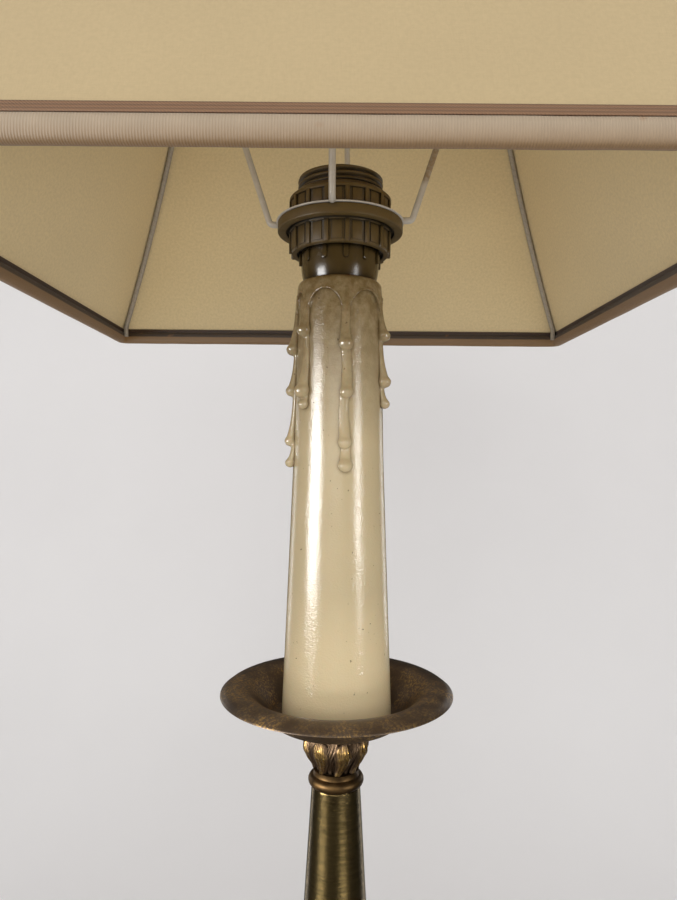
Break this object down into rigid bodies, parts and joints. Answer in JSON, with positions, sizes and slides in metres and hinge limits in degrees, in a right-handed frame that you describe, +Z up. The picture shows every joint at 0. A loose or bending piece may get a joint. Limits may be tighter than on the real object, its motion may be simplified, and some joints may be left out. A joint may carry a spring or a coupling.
{
  "type": "bouillotte lamp",
  "caption": "Candle-form table lamp: dished foot, tapered column, leaf knop, drip pan, imitation candle with lampholder, and a square bell shade held by two ring nuts.",
  "frame": {"origin": "on the lamp's vertical axis, at the underside of the felt under the foot", "axes": "+Z up along the lamp's axis, -Y the side seen in the picture, +X to the right of that view"},
  "size_m": [0.3028, 0.3028, 0.7269],
  "materials": {
    "felt": "dark green felt",
    "cast_iron": "cast, painted",
    "brushed_brass": "satin, brushed round, lightly tarnished",
    "aged_bronze": "dark bronzed casting with rubbed golden highlights",
    "zinc_steel": "zinc plated",
    "black_rubber": "matte",
    "cream_resin": "semi-gloss cast resin",
    "olive_plastic": "olive-brown moulded thermoplastic, semi-gloss",
    "pale_plastic": "moulded, matte",
    "contact_brass": "bright",
    "brown_pvc": "brown insulation",
    "blue_pvc": "blue insulation",
    "white_enamel": "white enamelled steel wire",
    "rib_tape": "steel wire wound with grey-white tape",
    "beige_fabric": "warm beige paper-backed cloth",
    "taupe_grosgrain": "ribbed taupe ribbon",
    "brown_braid": "dark brown twill braid"
  },
  "bodies": {
    "stand": {"felt_pad": "felt", "base_weight": "cast_iron", "base_dish": "brushed_brass", "base_gallery": "brushed_brass", "cable_bush": "black_rubber", "base_washer": "zinc_steel", "base_nut": "zinc_steel", "stem_tube": "zinc_steel", "column_foot": "aged_bronze", "column": "brushed_brass", "neck_bead": "aged_bronze", "leaf_knop": "aged_bronze", "drip_pan": "aged_bronze", "pan_washer": "zinc_steel", "pan_locknut": "zinc_steel", "candle_sleeve": "cream_resin", "holder_cap": "olive_plastic", "cap_grub_screw": "zinc_steel", "holder_shell": "olive_plastic", "holder_insert": "pale_plastic", "screw_shell": "contact_brass", "centre_contact": "contact_brass", "side_contact": "contact_brass", "terminals": "contact_brass", "terminal_screws": "zinc_steel", "live_lead": "brown_pvc", "neutral_lead": "blue_pvc", "connector_block": "pale_plastic"},
    "seat": {"seat_disc": "olive_plastic"},
    "lower_ring": {"lower_shade_ring": "olive_plastic"},
    "upper_ring": {"upper_shade_ring": "olive_plastic"},
    "shade": {"carrier_ring": "white_enamel", "carrier_arm_front": "white_enamel", "carrier_arm_right": "white_enamel", "carrier_arm_back": "white_enamel", "carrier_arm_left": "white_enamel", "bottom_frame": "white_enamel", "top_frame": "white_enamel", "corner_rib_1": "rib_tape", "corner_rib_2": "rib_tape", "corner_rib_3": "rib_tape", "corner_rib_4": "rib_tape", "panel_front": "beige_fabric", "panel_right": "beige_fabric", "panel_back": "beige_fabric", "panel_left": "beige_fabric", "bottom_binding": "taupe_grosgrain", "top_binding": "taupe_grosgrain", "bottom_braid": "brown_braid", "top_braid": "brown_braid", "corner_braid_1": "brown_braid", "corner_braid_2": "brown_braid", "corner_braid_3": "brown_braid", "corner_braid_4": "brown_braid"}
  },
  "joints": [
    {"name": "shade_height", "type": "slide", "parent": "stand", "child": "seat", "axis": [0, 0, 1], "range_m": [-0.005, 0.0075]},
    {"name": "lower_ring_turn", "type": "hinge", "parent": "seat", "child": "lower_ring", "pos_m": [0, 0, 0.5486], "axis": [0, 0, 1], "range_deg": [-720, 1080]},
    {"name": "upper_ring_turn", "type": "hinge", "parent": "seat", "child": "upper_ring", "pos_m": [0, 0, 0.5651], "axis": [0, 0, 1], "range_deg": [-720, 1080]},
    {"name": "shade_turn", "type": "hinge", "parent": "seat", "child": "shade", "pos_m": [0, 0, 0.5586], "axis": [0, 0, 1], "continuous": true}
  ],
  "couplings": [
    {"joint": "lower_ring_turn", "follows": "shade_height", "rad_per_m": 2513.3},
    {"joint": "upper_ring_turn", "follows": "shade_height", "rad_per_m": 2513.3}
  ]
}
